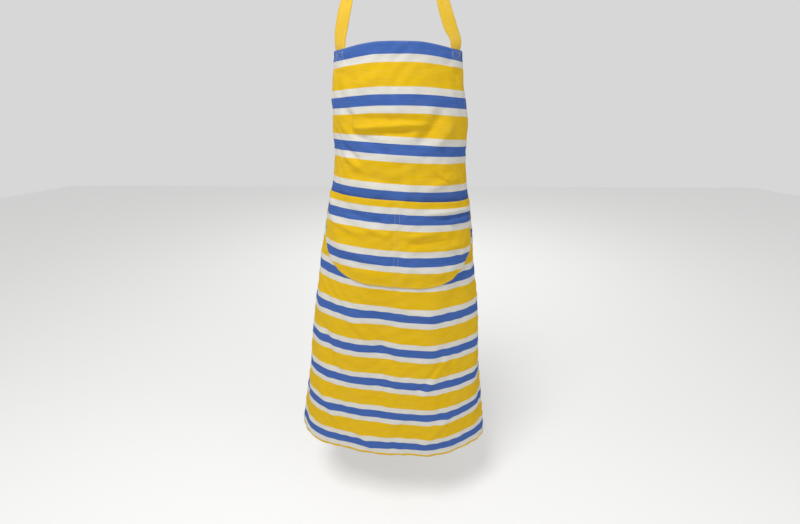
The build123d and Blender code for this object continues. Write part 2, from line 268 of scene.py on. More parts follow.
# Drill: a firm cotton cloth with a yarn-dyed stripe that repeats every 92 mm: blue, white, yellow,
# white. The same cut serves the panel, its hems and the pocket, whose stripes start elsewhere.
REPEAT, BLUE_WIDE, WHITE_WIDE, STRIPE_SOFT = 0.092, 0.0208, 0.0138, 0.0003
BLUE = (0.050, 0.130, 0.430, 1.0)
WHITE = (0.740, 0.720, 0.660, 1.0)
YELLOW = (0.800, 0.500, 0.003, 1.0)
THREAD = 0.00058


class Nodes:
    """Short calls for building a material's nodes."""

    def __init__(self, name):
        self.material = bpy.data.materials.new(name)
        self.material.use_nodes = True
        self.tree = self.material.node_tree
        self.tree.nodes.clear()

    def new(self, kind, inputs=(), **settings):
        """A node with its settings made, and its inputs set to values or joined to sockets."""
        node = self.tree.nodes.new(kind)
        for key, value in settings.items():
            setattr(node, key, value)
        for key, value in dict(inputs).items():
            if isinstance(value, bpy.types.NodeSocket):
                self.tree.links.new(value, node.inputs[key])
            else:
                node.inputs[key].default_value = value
        return node

    def math(self, operation, a, b=0.0, c=0.0):
        return self.new("ShaderNodeMath", {0: a, 1: b, 2: c}, operation=operation).outputs[0]

    def mix(self, share, a, b, blend="MIX"):
        node = self.new("ShaderNodeMix", data_type="RGBA", blend_type=blend)
        for key, value in ((0, share), (6, a), (7, b)):
            if isinstance(value, bpy.types.NodeSocket):
                self.tree.links.new(value, node.inputs[key])
            else:
                node.inputs[key].default_value = value
        return node.outputs[2]

    def noise(self, place, scale, detail=2.0, rough=0.5):
        inputs = {"Vector": place, "Scale": scale, "Detail": detail, "Roughness": rough}
        return self.new("ShaderNodeTexNoise", inputs).outputs[0]

    def stretch(self, place, x, y, z=1.0):
        return self.new("ShaderNodeMapping", {"Vector": place, "Scale": (x, y, z)}).outputs[0]

    def band(self, value, low, high, soft):
        """One between low and high, and nought outside, with soft edges."""
        rise = self.new("ShaderNodeMapRange", {0: value, 1: low - soft, 2: low + soft}).outputs[0]
        fall = self.new("ShaderNodeMapRange", {0: value, 1: high - soft, 2: high + soft}).outputs[0]
        return self.math("SUBTRACT", rise, fall)

    def finish(self, colour, roughness, height, distance, sheen=0.02):
        """The material, as a matt textile whose threads stand up by height."""
        relief = self.new("ShaderNodeBump", {"Height": height, "Strength": 0.75, "Distance": distance})
        surface = {"Base Color": colour, "Roughness": roughness, "Normal": relief.outputs[0]}
        shader = self.new("ShaderNodeBsdfPrincipled", surface)
        shader.inputs["Sheen Weight"].default_value = sheen
        shader.inputs["Sheen Roughness"].default_value = 0.5
        shader.inputs["Specular IOR Level"].default_value = 0.06
        self.new("ShaderNodeOutputMaterial", {"Surface": shader.outputs[0]})
        return self.material


def drill(name, start):
    """The striped drill, with the stripe's repeat beginning at start down the cut piece."""
    n = Nodes(name)
    place = n.new("ShaderNodeUVMap", uv_map="cloth").outputs[0]
    across, drop, _ = n.new("ShaderNodeSeparateXYZ", {0: place}).outputs
    waver = n.noise(n.stretch(place, 30.0, 900.0), 1.0, 2.0)
    level = n.math("ADD", drop, n.math("MULTIPLY", n.math("SUBTRACT", waver, 0.5), 0.0009))
    repeats = n.math("DIVIDE", n.math("SUBTRACT", level, start), REPEAT)
    phase = n.math("MULTIPLY", n.math("FRACT", repeats), REPEAT)
    blue = n.band(phase, 0.0, BLUE_WIDE, STRIPE_SOFT)
    yellow = n.band(phase, BLUE_WIDE + WHITE_WIDE, REPEAT - WHITE_WIDE, STRIPE_SOFT)
    colour = n.mix(yellow, n.mix(blue, WHITE, BLUE), YELLOW)
    # Thick and thin weft threads run across, and show as short streaks.
    slub = n.noise(n.stretch(place, 45.0, 1150.0), 1.0, 3.0, 0.65)
    slub_dark = n.new("ShaderNodeMapRange", {0: slub, 1: 0.42, 2: 0.68, 3: 0.0, 4: 0.12}).outputs[0]
    colour = n.mix(slub_dark, colour, n.mix(0.75, colour, (0.25, 0.20, 0.12, 1.0), "MULTIPLY"))
    fleck = n.noise(n.stretch(place, 14.0, 420.0), 1.0, 2.0)
    fade = n.new("ShaderNodeMapRange", {0: fleck, 1: 0.35, 2: 0.7, 3: 0.0, 4: 0.06}).outputs[0]
    colour = n.mix(fade, colour, n.mix(0.5, colour, (1.0, 0.98, 0.92, 1.0)))
    # Two-up one-down twill: the warp steps over by a thread in each row.
    weft = n.math("SINE", n.math("MULTIPLY", drop, 2 * math.pi / THREAD))
    stepped = n.math("ADD", across, n.math("MULTIPLY", drop, 0.5))
    warp = n.math("SINE", n.math("MULTIPLY", stepped, 2 * math.pi / (THREAD * 1.5)))
    weave = n.math("MULTIPLY_ADD", weft, 0.25, n.math("MULTIPLY", warp, 0.35))
    slack = n.noise(n.stretch(place, 70.0, 110.0), 1.0, 3.0)
    height = n.math("MULTIPLY_ADD", weave, 0.30, n.math("MULTIPLY", slub, 0.9))
    height = n.math("ADD", height, n.math("MULTIPLY", slack, 1.6))
    rough = n.new("ShaderNodeMapRange", {0: slub, 3: 0.78, 4: 0.92}).outputs[0]
    return n.finish(colour, rough, height, 0.0007)


PANEL_DRILL = drill("panel_drill", 0.0)

# Main panel: bib, waist and skirt are one piece of drill, 960 mm long and 687 mm wide at the hem,
# cut with hollow armholes. It lies on the chest and hangs free below the pocket.
ROWS, COLUMNS = 285, 181
drops = np.linspace(0.0, LENGTH, ROWS)
halves = half_width(drops)
across = np.linspace(-1, 1, COLUMNS)[None, :] * halves[:, None]
levels = np.repeat(drops[:, None], COLUMNS, axis=1)
panel = grid_piece("panel", wrap(across, levels, PLY / 2), np.stack([across, levels], -1))
panel.data.materials.append(PANEL_DRILL)
thicken(panel, PLY)
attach(panel, "apron")
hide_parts("main_panel")

# Hems: every free edge of the panel is turned to the inside and stitched down, so the edge is a
# rounded fold two plies thick. The turned ply shows the stripes of the cloth beyond the edge.
TOP_HEM, EDGE_HEM, BOTTOM_HEM, TOP_OVER = 0.026, 0.011, 0.020, 0.005
TURN, BACK_PLY = 0.0007, -0.0010
SIDES = ("left", 1), ("right", -1)


def hem_profile(width):
    """A hem's section: how far in from the edge, how far out, and how far along the cloth."""
    fold = [(-TURN * math.sin(t), (PLY / 2 + BACK_PLY) / 2 + (PLY / 2 - BACK_PLY) / 2 * math.cos(t))
            for t in np.linspace(0.0, math.pi, 7)]
    flat = [(width * t, BACK_PLY - 0.0001 * math.sin(t * 9)) for t in (0.08, 0.25, 0.5, 0.75, 0.95)]
    tuck = [(width, BACK_PLY + 0.0001), (width - 0.0006, BACK_PLY + 0.0007)]
    points = np.array(fold + flat + tuck)
    length = np.concatenate([[0.0], np.cumsum(np.hypot(*np.diff(points, axis=0).T))])
    return points[:, 0], points[:, 1], length


def hem(name, across, drop, into_across, into_drop, width, node, over=0.0):
    """A hem along an edge: the edge's place on the cloth, and the way into the cloth from it.

    over is how much of the edge's own stripe lies beyond the fold.
    """
    inset, out, length = hem_profile(width)
    length = length - over
    u = across[:, None] + into_across[:, None] * inset
    d = drop[:, None] + into_drop[:, None] * inset
    cut_across = across[:, None] - into_across[:, None] * length
    cut_drop = drop[:, None] - into_drop[:, None] * length
    flat = np.stack([cut_across, cut_drop], -1)
    strip = grid_piece(name, wrap(u, d, np.broadcast_to(out, u.shape)), flat)
    strip.data.materials.append(PANEL_DRILL)
    thicken(strip, PLY)
    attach(strip, "apron")
    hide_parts(node)
    return strip


def edge_path(first, last, steps, side):
    """The free edge of one side between two drops, with the way into the cloth."""
    drop = np.linspace(first, last, steps)
    across = side * half_width(drop)
    run = np.gradient(np.stack([across, drop], -1), axis=0)
    run /= np.hypot(*run.T)[:, None]
    return across, drop, -side * np.abs(run[:, 1]), side * run[:, 0] * np.sign(run[:, 1])


top = np.linspace(-1, 1, 121) * half_width([0.0])[0]
foot = np.linspace(-1, 1, 181) * half_width([LENGTH])[0]
foot_drop = np.full_like(foot, LENGTH)
hems = [
    hem("top_hem", top, 0 * top, 0 * top, 0 * top + 1.0, TOP_HEM, "bib_top_hem", over=TOP_OVER),
    hem("foot_hem", foot, foot_drop, 0 * foot, 0 * foot - 1.0, BOTTOM_HEM, "bottom_hem"),
]
for name, side in SIDES:
    armhole = edge_path(0.001, WAIST_DROP, 90, side)
    skirt_side = edge_path(WAIST_DROP, LENGTH - 0.001, 150, side)
    hems.append(hem(f"armhole_{name}", *armhole, EDGE_HEM, f"armhole_hem_{name}"))
    hems.append(hem(f"skirt_side_{name}", *skirt_side, EDGE_HEM, f"side_hem_{name}"))

# Patch pocket: a wide piece of the same drill with large round lower corners, cut with its stripes
# out of step with the panel. Its mouth stands off the cloth, most on the wearer's left.
POCKET_TOP, POCKET_LOW, POCKET_TURN_DROP = 0.2955, 0.486, 0.385
POCKET_HALF, POCKET_FLAT, POCKET_ROUND = 0.194, 0.052, 0.105
POCKET_START = 0.2305
SEAM_PAIR = (-0.007, 0.002)
POCKET_DRILL = drill("pocket_drill", POCKET_START)
# Its creases, given as the panel's are, and where its mouth gapes: how far across, how wide, how far.
POCKET_FOLDS = [
    ((0.050, 0.319), (0.175, 0.311), 0.0048, 0.0044),
    ((0.075, 0.329), (0.185, 0.321), 0.0045, -0.0039),
    ((0.095, 0.339), (0.185, 0.330), 0.0045, 0.0036),
    ((0.008, 0.371), (0.090, 0.360), 0.0055, 0.0034),
    ((0.020, 0.385), (0.115, 0.377), 0.0055, -0.0034),
    ((0.012, 0.399), (0.085, 0.397), 0.0050, 0.0029),
    ((0.090, 0.398), (0.160, 0.388), 0.0060, 0.0029),
    ((-0.065, 0.358), (-0.015, 0.371), 0.0070, 0.0029),
    ((-0.110, 0.330), (-0.030, 0.345), 0.0090, -0.0034),
    ((-0.160, 0.352), (-0.080, 0.372), 0.0080, 0.0029),
    ((-0.150, 0.400), (-0.060, 0.425), 0.0110, 0.0034),
    ((-0.120, 0.432), (-0.030, 0.448), 0.0100, -0.0029),
    ((0.120, 0.400), (0.160, 0.440), 0.0090, -0.0031),
    ((0.030, 0.440), (0.110, 0.455), 0.0080, 0.0029),
]
GAPES = (0.115, 0.050, 0.0062), (-0.095, 0.060, 0.0030), (0.045, 0.030, 0.0028)


def pocket_half(drop):
    """The pocket's half width on the cloth at a drop."""
    t = np.clip((drop - POCKET_TURN_DROP) / (POCKET_LOW - POCKET_TURN_DROP), 0.0, 1.0)
    return POCKET_FLAT + (POCKET_HALF - POCKET_FLAT) * np.sqrt(1 - t * t)


def pocket_lift(across, drop):
    """How far the pocket's cloth stands off the panel: pressed down at every row of stitches."""
    side = POCKET_HALF - np.abs(across)
    t = np.clip((drop - POCKET_TURN_DROP) / (POCKET_LOW - POCKET_TURN_DROP), 0.0, 1.0)
    reach = np.clip((np.abs(across) - POCKET_FLAT) / (POCKET_HALF - POCKET_FLAT), 0.0, 1.0)
    round_edge = (1 - np.sqrt(t * t + reach * reach)) * POCKET_ROUND
    lower = np.where(np.abs(across) > POCKET_FLAT, round_edge, POCKET_LOW - drop)
    near = np.where(drop > POCKET_TURN_DROP, lower, side)
    first, second = SEAM_PAIR
    middle = np.minimum(np.abs(across - first), np.abs(across - second))
    middle = np.where((across > first) & (across < second), middle * 0.25, middle)
    full = smooth(near, 0.004, 0.030) * smooth(middle, 0.0005, 0.016)
    lift = 0.0013 + 0.0014 * smooth(near, -0.001, 0.003) + 0.0030 * full
    creased = smooth(near, 0.006, 0.022) * smooth(middle, 0.001, 0.010)
    lift = lift + creased * folds_sum(POCKET_FOLDS, across, drop)
    mouth = np.exp(-np.clip(drop - POCKET_TOP, 0, None) / 0.026)
    gape = sum(high * bump(across, place, wide) for place, wide, high in GAPES)
    return lift + mouth * gape * smooth(side, 0.0, 0.03)


straight = np.linspace(POCKET_TOP, POCKET_TURN_DROP, 34)
turn = np.linspace(0, math.pi / 2, 40)[1:]
rounded = POCKET_TURN_DROP + (POCKET_LOW - POCKET_TURN_DROP) * np.sin(turn)
pocket_drops = np.concatenate([straight, rounded])
pocket_halves = pocket_half(pocket_drops)
# The columns lie closer together towards the sides.
CROWDED = math.pi / 2 * 0.75
columns = np.sin(np.linspace(-1, 1, 141) * CROWDED) / math.sin(CROWDED)
u = columns[None, :] * pocket_halves[:, None]
d = np.repeat(pocket_drops[:, None], u.shape[1], axis=1)
pocket = grid_piece("pocket", wrap(u, d, PLY + pocket_lift(u, d)), np.stack([u, d], -1))
pocket.data.materials.append(POCKET_DRILL)
thicken(pocket, PLY)
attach(pocket, "apron")
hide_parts("pocket_panel")

# Mouth of the pocket: its top edge is folded to the inside by a hem 16 mm deep and stitched down,
# before the pocket is sewn to the panel.
POCKET_HEM = 0.016
inset, out, length = hem_profile(POCKET_HEM)
line = np.linspace(-1, 1, 141) * (POCKET_HALF - 0.001)
u, d = line[:, None] + 0 * inset, POCKET_TOP + 0 * line[:, None] + inset
lift = PLY + pocket_lift(u, np.maximum(d, POCKET_TOP)) + (out - PLY / 2)
mouth_flat = np.stack([u, POCKET_TOP - length + 0 * u], -1)
mouth_hem = grid_piece("pocket_mouth_hem", wrap(u, d, lift), mouth_flat)
mouth_hem.data.materials.append(POCKET_DRILL)
thicken(mouth_hem, PLY * 0.8)
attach(mouth_hem, "apron")
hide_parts("pocket_top_hem")

# Tape: lemon-yellow cotton, 28 mm wide and a little over 1 mm thick, in a herringbone weave. It
# makes the neck loop and the ties.
TAPE_W, TAPE_T, TAPE_CROWN = 0.028, 0.0012, 0.0003
GATHER_LONG = 0.022
RIB_PITCH, THREAD_PITCH = 0.0016, 0.0007
LEMON = (0.900, 0.560, 0.020, 1.0)


def herringbone(name):
    """The tape's cloth: slanted ribs that turn over at each quarter of the width."""
    n = Nodes(name)
    place = n.new("ShaderNodeUVMap", uv_map="cloth").outputs[0]
    across, along, _ = n.new("ShaderNodeSeparateXYZ", {0: place}).outputs
    fold = n.math("PINGPONG", across, TAPE_W / 4)
    rib = n.math("SINE", n.math("MULTIPLY", n.math("ADD", along, fold), 2 * math.pi / RIB_PITCH))
    thread = n.math("SINE", n.math("MULTIPLY", across, 2 * math.pi / THREAD_PITCH))
    lint = n.noise(n.stretch(place, 500.0, 160.0), 1.0, 3.0)
    height = n.math("MULTIPLY_ADD", rib, 0.45, n.math("MULTIPLY", thread, 0.15))
    height = n.math("ADD", height, n.math("MULTIPLY", lint, 0.5))
    # Painted shade: the lemon colour darkens in the grooves between the ribs, where the ribs' own relief
    # would shade them.
    groove_shade = n.new("ShaderNodeMapRange", {0: rib, 1: -1.0, 2: 1.0, 3: 0.20, 4: 0.0}).outputs[0]
    colour = n.mix(groove_shade, LEMON, (0.55, 0.30, 0.005, 1.0))
    worn = n.new("ShaderNodeMapRange", {0: lint, 1: 0.45, 2: 0.7, 3: 0.0, 4: 0.25}).outputs[0]
    colour = n.mix(worn, colour, (1.0, 0.80, 0.16, 1.0))
    return n.finish(colour, 0.85, height, 0.0005, 0.3)


TAPE_CLOTH = herringbone("tape_cloth")


def smooth_path(rows, spacing):
    """Closely spaced rows on a smooth curve through the given ones, which may be unevenly spaced."""
    middle = (rows[:, :3] + rows[:, 3:]) / 2
    chord = np.linalg.norm(np.diff(middle, axis=0), axis=1)
    slope = np.diff(rows, axis=0) / chord[:, None]
    before, after = chord[:-1, None], chord[1:, None]
    between = (slope[:-1] * after + slope[1:] * before) / (before + after)
    tangent = np.vstack([slope[:1], between, slope[-1:]])
    path = []
    for i, long in enumerate(chord):
        t = np.linspace(0, 1, max(2, int(math.ceil(long / spacing))), endpoint=False)[:, None]
        ends = (2 * t**3 - 3 * t**2 + 1) * rows[i] + (3 * t**2 - 2 * t**3) * rows[i + 1]
        path.append(ends + long * ((t**3 - 2 * t**2 + t) * tangent[i] + (t**3 - t**2) * tangent[i + 1]))
    return np.vstack([*path, rows[-1:]])


def settle(obj):
    """Makes a piece's modifiers part of its mesh."""
    evaluated = obj.evaluated_get(bpy.context.evaluated_depsgraph_get())
    mesh = bpy.data.meshes.new_from_object(evaluated)
    obj.modifiers.clear()
    obj.data = mesh
    return obj


def tape(name, edges, pleats=(0.0, 0.0), spacing=0.0025):
    """A woven tape, and its length, from rows of six numbers: a point of each of its two edges.

    pleats is how deep the tape is gathered at its first and its last end.
    """
    rows = smooth_path(np.asarray(edges, float), spacing)
    a, b = rows[:, :3], rows[:, 3:]
    share = np.linspace(0, 1, 13)
    face = np.cross(b - a, np.gradient((a + b) / 2, axis=0))
    face /= np.linalg.norm(face, axis=1)[:, None]
    along = np.concatenate([[0.0], np.cumsum(np.linalg.norm(np.diff((a + b) / 2, axis=0), axis=1))])
    gather = pleats[0] * bump(along, 0.0, GATHER_LONG) + pleats[1] * bump(along, along[-1], GATHER_LONG)
    rise = TAPE_CROWN * np.sin(share * math.pi) + gather[:, None] * np.cos(share * 5 * math.pi)
    points = a[:, None] * (1 - share)[:, None] + b[:, None] * share[:, None]
    points = points + face[:, None] * rise[..., None]
    flat = np.stack(np.broadcast_arrays(share[None, :] * TAPE_W, along[:, None]), -1)
    piece = grid_piece(name, points, flat)
    piece.data.materials.append(TAPE_CLOTH)
    return settle(thicken(piece, TAPE_T * 0.85)), float(along[-1])


def station(middle, way, face):
    """One row of a tape's two edges, from its middle, its direction and the way its face looks."""
    way, face = np.asarray(way, float), np.asarray(face, float)
    way /= np.linalg.norm(way)
    aside = np.cross(way, face)
    aside *= TAPE_W / 2 / np.linalg.norm(aside)
    return np.concatenate([np.asarray(middle) - aside, np.asarray(middle) + aside])


# Neck straps: each end is sewn behind a top corner of the bib. On the wearer's right a short strap
# holds the ring; the long strap goes from the left corner round the neck to the ring and back.
SEWN_ACROSS, SEWN_DEEP, SEWN_OUT = (0.1092, 0.1365), 0.042, -0.0026
# Middles of the tape, with the way its face looks, up from the bib: a half loop given as on the left
# for each strap. The short strap's goes up to the straight run, where the ring and slider are.
SHORT_ROWS = [
    ((0.1115, -0.1188, 0.005), (0.56, -0.83, 0.0)),
    ((0.1085, -0.1195, 0.026), (0.44, -0.90, 0.0)),
    ((0.1040, -0.1195, 0.050), (0.42, -0.91, 0.0)),
    ((0.0975, -0.1120, 0.085), (0.62, -0.76, 0.15)),
]
LEFT_ROWS = [
    ((0.1115, -0.1188, 0.005), (0.56, -0.83, 0.0)),
    ((0.1010, -0.1195, 0.026), (0.44, -0.90, 0.0)),
    ((0.0900, -0.1195, 0.050), (0.40, -0.92, 0.0)),
    ((0.0780, -0.1125, 0.085), (0.52, -0.83, 0.15)),
    ((0.0680, -0.1030, 0.112), (0.68, -0.66, 0.25)),
    ((0.0640, -0.0790, 0.148), (0.82, -0.42, 0.25)),
    ((0.0610, -0.0550, 0.183), (0.85, -0.24, 0.30)),
    ((0.0570, -0.0340, 0.199), (0.78, 0.05, 0.62)),
    ((0.0490, -0.0150, 0.209), (0.55, 0.55, 0.62)),
    ((0.0290, -0.0028, 0.214), (0.25, 0.90, 0.35)),
    ((0.0, TAPE_T / 2, 0.215), (0.0, 1.0, 0.0)),
]
RUN_FOOT, RUN_HEAD = np.array((0.0910, -0.1030, 0.112)), np.array((0.0720, -0.0550, 0.183))
RUN_FACE = np.array((0.85, -0.30, 0.20))
RUN_WAY = (RUN_HEAD - RUN_FOOT) / np.linalg.norm(RUN_HEAD - RUN_FOOT)
RIGHT_ROWS = [
    ((0.0290, -0.0028, 0.214), (0.25, 0.90, 0.35)),
    ((0.0520, -0.0150, 0.209), (0.55, 0.55, 0.62)),
    ((0.0650, -0.0340, 0.199), (0.78, 0.05, 0.62)),
    (RUN_HEAD, RUN_FACE),
    (RUN_FOOT, RUN_FACE),
]
RING_PITCH, WRAP_R, SLIDE_GAP = 0.010, 0.00245, 0.00035
INNER_PLY = -(TAPE_T + SLIDE_GAP)
LIFT = np.array((0.0, 0.0, BIB_TOP_Z))
MIRROR = np.array((-1, 1, 1))


def rows_through(places, first, last, side=1):
    """Tape rows through (middle, face) places above the bib, mirrored for side -1."""
    flip = np.array((side, 1, 1))
    drift = [(-BIB_DRIFT * (1 - float(smooth(p[2], 0.0, 0.09))), 0, 0) for p, _ in places]
    points = [np.asarray(p) * flip + LIFT + d for (p, _), d in zip(places, drift)]
    faces = [np.asarray(f) * flip for _, f in places]
    ways = [first, *[b - a for a, b in zip(points, points[2:])], last]
    return [station(p, w, f) for p, w, f in zip(points, ways, faces)]


def sewn_rows(side):
    """The rows of a strap's sewn end behind the bib, from its lower end up to the bib's edge."""
    inner, outer = side * SEWN_ACROSS[0], side * SEWN_ACROSS[1]
    rows = []
    for drop in np.linspace(SEWN_DEEP, 0.0, 8):
        a, b = wrap([inner, outer], [drop, drop], SEWN_OUT)
        rows.append(np.concatenate([a, b]))
    return rows


def on_run(up, out):
    """A point of the right-hand straight run: up it from its foot, and out of its face."""
    face = RUN_FACE - RUN_WAY * RUN_FACE.dot(RUN_WAY)
    face /= np.linalg.norm(face)
    return (RUN_FOOT + RUN_WAY * up + face * out) * MIRROR + LIFT, RUN_WAY * MIRROR, face * MIRROR


def run_row(up, out, way_up, way_out):
    """A tape row on the run, heading along the run by way_up and out of its face by way_out."""
    middle, way, face = on_run(up, out)
    heading = way * way_up + face * way_out
    outward = face * way_up - way * way_out
    return station(middle, heading, outward)


def ring_fold(side, bar, reach):
    """Rows that fold round the ring's bar: side 1 arrives from above it, -1 from below."""
    rows = [run_row(bar + side * x, 0.0, -side, 0.0) for x in (reach, reach / 2, reach / 10)]
    for t in np.linspace(0, math.pi, 7):
        sine, cosine = math.sin(t), math.cos(t)
        up, out = bar - side * WRAP_R * sine, -WRAP_R + WRAP_R * cosine
        rows.append(run_row(up, out, -side * cosine, -sine))
    return rows


def turned_over(rows):
    """The same rows with their two edges changed over."""
    return [np.concatenate([row[3:], row[:3]]) for row in rows]


run_down = -on_run(0, 0)[1]
left_rows = rows_through(LEFT_ROWS, np.array((0, 0, 1.0)), np.array((-1.0, 0, 0)))
right_rows = rows_through(RIGHT_ROWS, np.array((-1.0, -0.2, 0)), run_down, -1)[:-1]
straight_rows = [run_row(up, 0.0, -1, 0) for up in (0.082, 0.064, 0.046)]
inner_rows = [run_row(RING_PITCH + 0.003, -0.0040, 1, 0)]
inner_rows += [run_row(RING_PITCH + up, INNER_PLY, 1, 0) for up in (0.0062, 0.014, 0.034, 0.052)]
buckle_rows = turned_over(straight_rows + ring_fold(1, RING_PITCH, 0.020) + inner_rows)
long_rows = sewn_rows(1) + left_rows + right_rows + buckle_rows
long_strap, long_length = tape("neck_tape_long", long_rows)
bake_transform(long_strap)
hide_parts("neck_strap_long", "strap_end_left")
short_inner = [run_row(-0.007, -0.0034, -1, 0)]
short_inner += [run_row(-down, INNER_PLY, -1, 0) for down in (0.014, 0.018)]
ring_rows = turned_over(reversed(ring_fold(-1, 0.0, 0.014) + short_inner))
bib_right = rows_through(list(reversed(SHORT_ROWS)), run_down, np.array((0, 0, -1.0)), -1)
short_rows = ring_rows + bib_right + sewn_rows(-1)[::-1]
short_strap, short_length = tape("neck_tape_short", short_rows)
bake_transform(short_strap)
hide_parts("neck_strap_short", "strap_end_right")

# Ring and slider: nickel-plated steel. The ring is bent from round wire and holds both straps. The
# slider is stamped from plate, and the end of the strap is folded over its bar and sewn.
SLIDER_AT, SLIDER_T, PLATE_EDGE = 0.046, 0.0024, 0.0005


def nickel():
    """Plated steel: bright and a little soft, with fine rubbing marks and dulled patches."""
    n = Nodes("nickel_plate")
    place = n.new("ShaderNodeTexCoord").outputs["Object"]
    dull = n.noise(place, 160.0, 4.0)
    marks = n.noise(n.stretch(place, 300.0, 300.0, 2600.0), 1.0, 2.0)
    colour = n.mix(dull, (0.60, 0.585, 0.55, 1.0), (0.74, 0.73, 0.70, 1.0))
    rough = n.new("ShaderNodeMapRange", {0: dull, 1: 0.3, 2: 0.7, 3: 0.20, 4: 0.38}).outputs[0]
    relief = n.new("ShaderNodeBump", {"Height": marks, "Strength": 0.25, "Distance": 0.0001})
    surface = {"Base Color": colour, "Roughness": rough, "Normal": relief.outputs[0]}
    shader = n.new("ShaderNodeBsdfPrincipled", surface)
    shader.inputs["Metallic"].default_value = 1.0
    n.new("ShaderNodeOutputMaterial", {"Surface": shader.outputs[0]})
    return n.material


NICKEL = nickel()


def softened(node, name, body, edge):
    """A copy of a CAD node with its doubles merged and its edges rounded."""
    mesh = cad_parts[node].data.copy()
    shape = bmesh.new()
    shape.from_mesh(mesh)
    bmesh.ops.remove_doubles(shape, verts=shape.verts, dist=1e-6)
    bmesh.ops.dissolve_limit(shape, angle_limit=math.radians(1), verts=shape.verts, edges=shape.edges)
    shape.to_mesh(mesh)
    shape.free()
    obj = bpy.data.objects.new(name, mesh)
    bpy.context.scene.collection.objects.link(obj)
    rounding = obj.modifiers.new("rounding", "BEVEL")
    rounding.width, rounding.segments = edge, 3
    rounding.limit_method, rounding.angle_limit = "ANGLE", math.radians(40)
    obj.data.materials.clear()
    obj.data.materials.append(NICKEL)
    settle(obj)
    obj.data.polygons.foreach_set("use_smooth", [True] * len(obj.data.polygons))
    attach(obj, body)
    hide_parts(node)
    return obj


softened("strap_slider", "slider_plate", "slider", PLATE_EDGE)
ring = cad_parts["strap_ring"]
ring.data.materials.clear()
ring.data.materials.append(NICKEL)
# The fold over the bar, from its top down: how far from the bar, how far out, and how steep.
FOLD_TOP = TAPE_T + SLIDE_GAP * 2 + SLIDER_T
FOLD_HALF = (0.0020, FOLD_TOP, 0.4), (0.0036, 0.0030, 1.2), (0.0052, 0.0017, 0.6), (0.0066, 0.0015, 0.1)
fold_rows = [run_row(SLIDER_AT - away, out, 1, steep) for away, out, steep in reversed(FOLD_HALF)]
fold_rows += [run_row(SLIDER_AT, FOLD_TOP + 0.0002, 1, 0.0)]
fold_rows += [run_row(SLIDER_AT + away, out, 1, -steep) for away, out, steep in FOLD_HALF]
slider_fold, fold_length = tape("slider_fold_tape", fold_rows, spacing=0.0008)
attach(slider_fold, "slider")
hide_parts("slider_strap_fold")

# Ties: a length of the same tape is sewn inside each waist corner, runs round to the back and is
# tied there in a bow: a wrapped knot, two loops that droop and two loose tails.
TIE_DROP, TIE_LAP, TIE_OUT = 0.306, 0.034, -0.0022
TIE_Z = BIB_TOP_Z - TIE_DROP
KNOT_HALF, KNOT_DEEP, KNOT_HIGH, BOW_Y = 0.012, 0.016, 0.026, 0.080
LOOP_LONG, LOOP_DEEP, LOOP_TUCK = 0.088, 0.0185, 0.003
LOOP_DROOP, LOOP_RISE = math.radians(26), 0.007
TAIL_LONG, TAIL_SPLAY, TAIL_OUT = 0.290, math.tan(math.radians(8)), 0.0056

waist_half = half_width([TIE_DROP])[0]
behind = arc_table(np.array([TIE_DROP]))[1][0][-1]
for name, side in SIDES:
    rows = []
    for t in np.linspace(0.0, 1.0, 34):
        far = waist_half - TIE_LAP + t * (behind - waist_half + TIE_LAP)
        near_knot = smooth(t, 0.80, 1.0)
        half = TAPE_W / 2 * (1 - 0.42 * near_knot)
        out = TIE_OUT + 0.0075 * near_knot
        folds = smooth(0.35 - t, 0.0, 0.1)
        a, b = wrap([side * far] * 2, [TIE_DROP - half, TIE_DROP + half], out, folds)
        rows.append(np.concatenate([a, b] if side > 0 else [b, a]))
    tie, tie_length = tape(f"waist_tie_{name}", rows, pleats=(0.0, 0.0012))
    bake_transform(tie)
    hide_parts(f"tie_end_{name}", f"tie_run_{name}")

# Bow loops: the tape goes out from the knot, turns and comes back, so each loop is a drop shape seen
# from above. It droops, and is gathered where the knot holds it.
for name, side in SIDES:
    rows = []
    for t in np.linspace(0.04, 0.96, 30):
        reach = (1 - math.cos(2 * math.pi * t)) / 2
        deep = LOOP_DEEP / 2 * math.sin(2 * math.pi * t) * reach**0.5
        half = TAPE_W / 2 * (0.42 + 0.58 * float(smooth(reach, 0.0, 0.45)))
        for sign in (-1, 1):
            x, z = reach * LOOP_LONG, sign * half - 0.004 * reach * reach
            away = x * math.cos(LOOP_DROOP) + z * math.sin(LOOP_DROOP)
            up = z * math.cos(LOOP_DROOP) - x * math.sin(LOOP_DROOP) + LOOP_RISE * reach**0.5
            y = BOW_Y + deep + 0.0015 * sign * reach
            rows.append((side * (KNOT_HALF - LOOP_TUCK + away), y, TIE_Z + up))
    rows = np.array(rows).reshape(-1, 6)
    loop, loop_length = tape(f"bow_loop_tape_{name}", rows, pleats=(0.0013, 0.0013))
    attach(loop, f"tie_{name}")
    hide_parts(f"bow_loop_{name}")

# Knot: the tape is drawn twice round the middle of the bow, so it is a tight square pad with upright
# creases. It stays with the left tie when the bow comes apart.
KNOT_SQUARE = 0.55
around = np.linspace(math.pi, 3 * math.pi, 64, endpoint=False)
beside = np.linspace(-1, 1, 25)
y = np.sign(np.cos(around)) * np.abs(np.cos(around)) ** KNOT_SQUARE * KNOT_DEEP / 2
z = np.sign(np.sin(around)) * np.abs(np.sin(around)) ** KNOT_SQUARE * KNOT_HIGH / 2
full = (1 - np.abs(beside) ** 5 * 0.45) * (1 - 0.07 * np.cos(beside * 3.1 * math.pi)) * 0.96
slant = 0.0012 * np.sin(around)
knot_points = np.stack([
    beside[:, None] * KNOT_HALF * 0.98 + slant[None, :],
    BOW_Y + full[:, None] * y[None, :],
    TIE_Z + full[:, None] * z[None, :],
], -1)
girth = np.concatenate([[0.0], np.cumsum(np.hypot(np.diff(y), np.diff(z)))])
flat = np.stack(np.broadcast_arrays((beside[:, None] + 1) * KNOT_HALF, girth[None, :]), -1)
